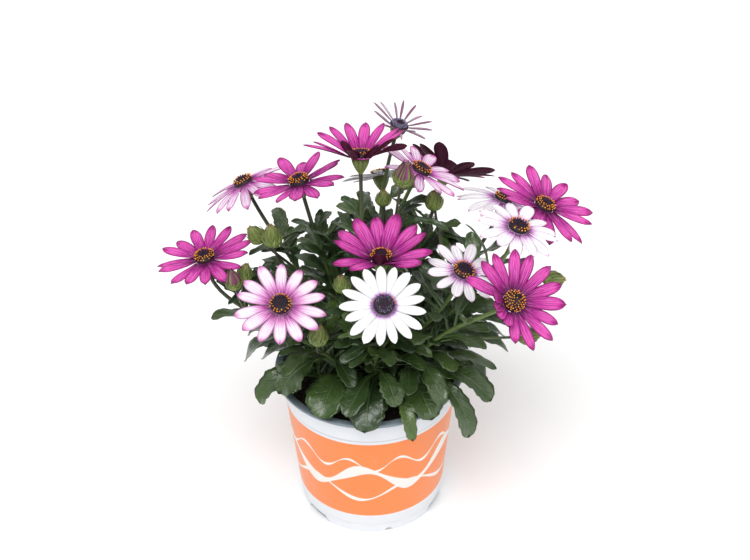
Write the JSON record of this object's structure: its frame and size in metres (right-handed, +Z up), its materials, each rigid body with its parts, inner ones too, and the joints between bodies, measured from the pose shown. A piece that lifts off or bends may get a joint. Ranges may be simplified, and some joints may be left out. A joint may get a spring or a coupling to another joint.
{
  "type": "potted osteospermum",
  "caption": "Potted African daisy in flower: pink, pale and white ray blooms with dark discs on leafy stems in a tapered round plastic pot with a flat lip.",
  "frame": {"origin": "centre of the pot's underside, on the floor plane", "axes": "+Z up, -Y toward the viewer of the picture, +X to the viewer's right"},
  "size_m": [0.2637, 0.1995, 0.2706],
  "materials": {
    "pot": "satin",
    "compost": "matte",
    "foliage": "satin",
    "rays_pink": "matte",
    "rays_blush": "matte",
    "rays_white": "matte",
    "rays_faded": "matte",
    "disc": "matte"
  },
  "bodies": {
    "root": {"pot": "pot", "soil": "compost", "rays_back_left": "rays_blush", "disc_back_left": "disc", "stem_back_left": "foliage", "rays_back_middle": "rays_white", "disc_back_middle": "disc", "stem_back_middle": "foliage", "rays_back_right": "rays_white", "disc_back_right": "disc", "stem_back_right": "foliage", "rays_back_turned": "rays_pink", "disc_back_turned": "disc", "stem_back_turned": "foliage", "rays_front_left": "rays_blush", "disc_front_left": "disc", "stem_front_left": "foliage", "rays_front_right": "rays_pink", "disc_front_right": "disc", "stem_front_right": "foliage", "rays_front_right_white": "rays_white", "disc_front_right_white": "disc", "stem_front_right_white": "foliage", "rays_front_white": "rays_white", "disc_front_white": "disc", "stem_front_white": "foliage", "rays_left": "rays_pink", "disc_left": "disc", "stem_left": "foliage", "rays_middle": "rays_pink", "disc_middle": "disc", "stem_middle": "foliage", "rays_right": "rays_pink", "disc_right": "disc", "stem_right": "foliage", "rays_right_white": "rays_white", "disc_right_white": "disc", "stem_right_white": "foliage", "rays_top": "rays_pink", "disc_top": "disc", "stem_top": "foliage", "rays_top_faded": "rays_faded", "disc_top_faded": "disc", "stem_top_faded": "foliage", "rays_upper_left": "rays_pink", "disc_upper_left": "disc", "stem_upper_left": "foliage", "rays_upper_middle": "rays_blush", "disc_upper_middle": "disc", "stem_upper_middle": "foliage", "stem_rim_1": "foliage", "stem_rim_2": "foliage", "stem_rim_3": "foliage", "stem_rim_4": "foliage", "stem_rim_5": "foliage", "stem_rim_7": "foliage", "stem_rim_8": "foliage"}
  },
  "joints": []
}
